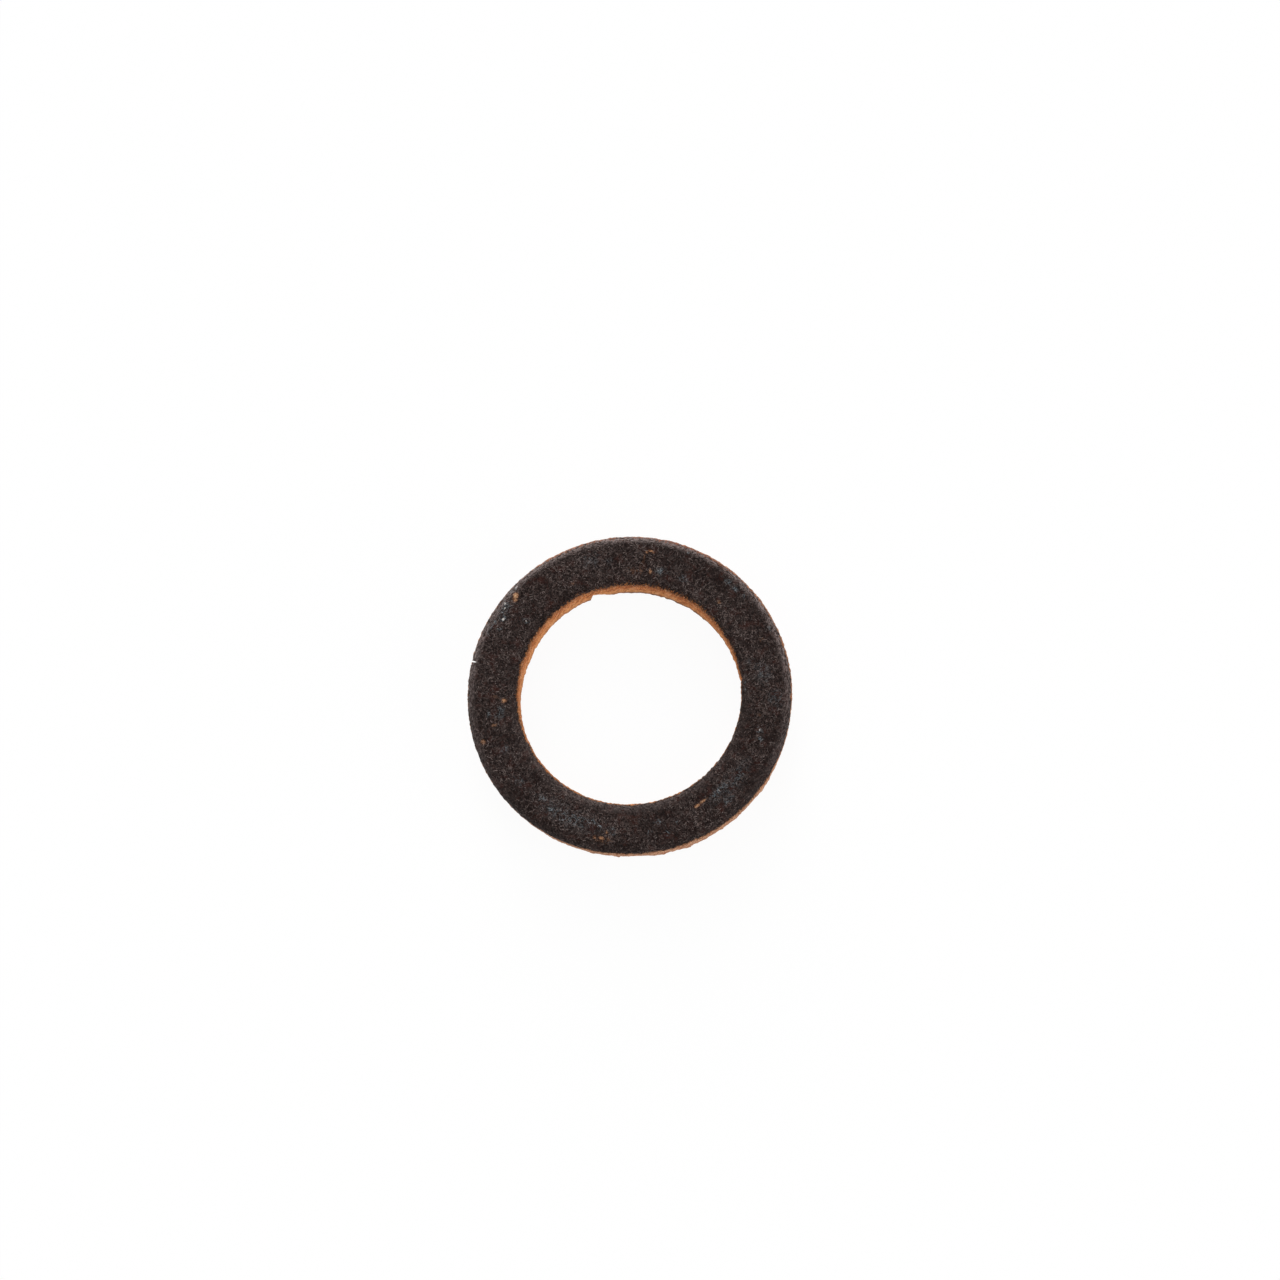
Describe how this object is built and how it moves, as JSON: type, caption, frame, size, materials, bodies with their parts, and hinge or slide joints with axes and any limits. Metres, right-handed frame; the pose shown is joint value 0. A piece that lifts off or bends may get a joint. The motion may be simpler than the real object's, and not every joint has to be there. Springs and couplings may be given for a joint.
{
  "type": "leather v-packing",
  "caption": "Moulded leather V-packing ring with a rounded dark heel, cut tan walls and a V groove between two thin lips.",
  "frame": {"origin": "centre of the ring in the plane of its lip edges, which it lies on", "axes": "+Z along the axis of the bore, from the lip edges to the heel; +X to the right and +Y up in the picture's view"},
  "size_m": [0.0296, 0.0296, 0.004],
  "materials": {
    "leather": "dark waxed heel, bare tan cut walls, matte"
  },
  "bodies": {
    "root": {"leather_v_packing": "leather"}
  },
  "joints": []
}
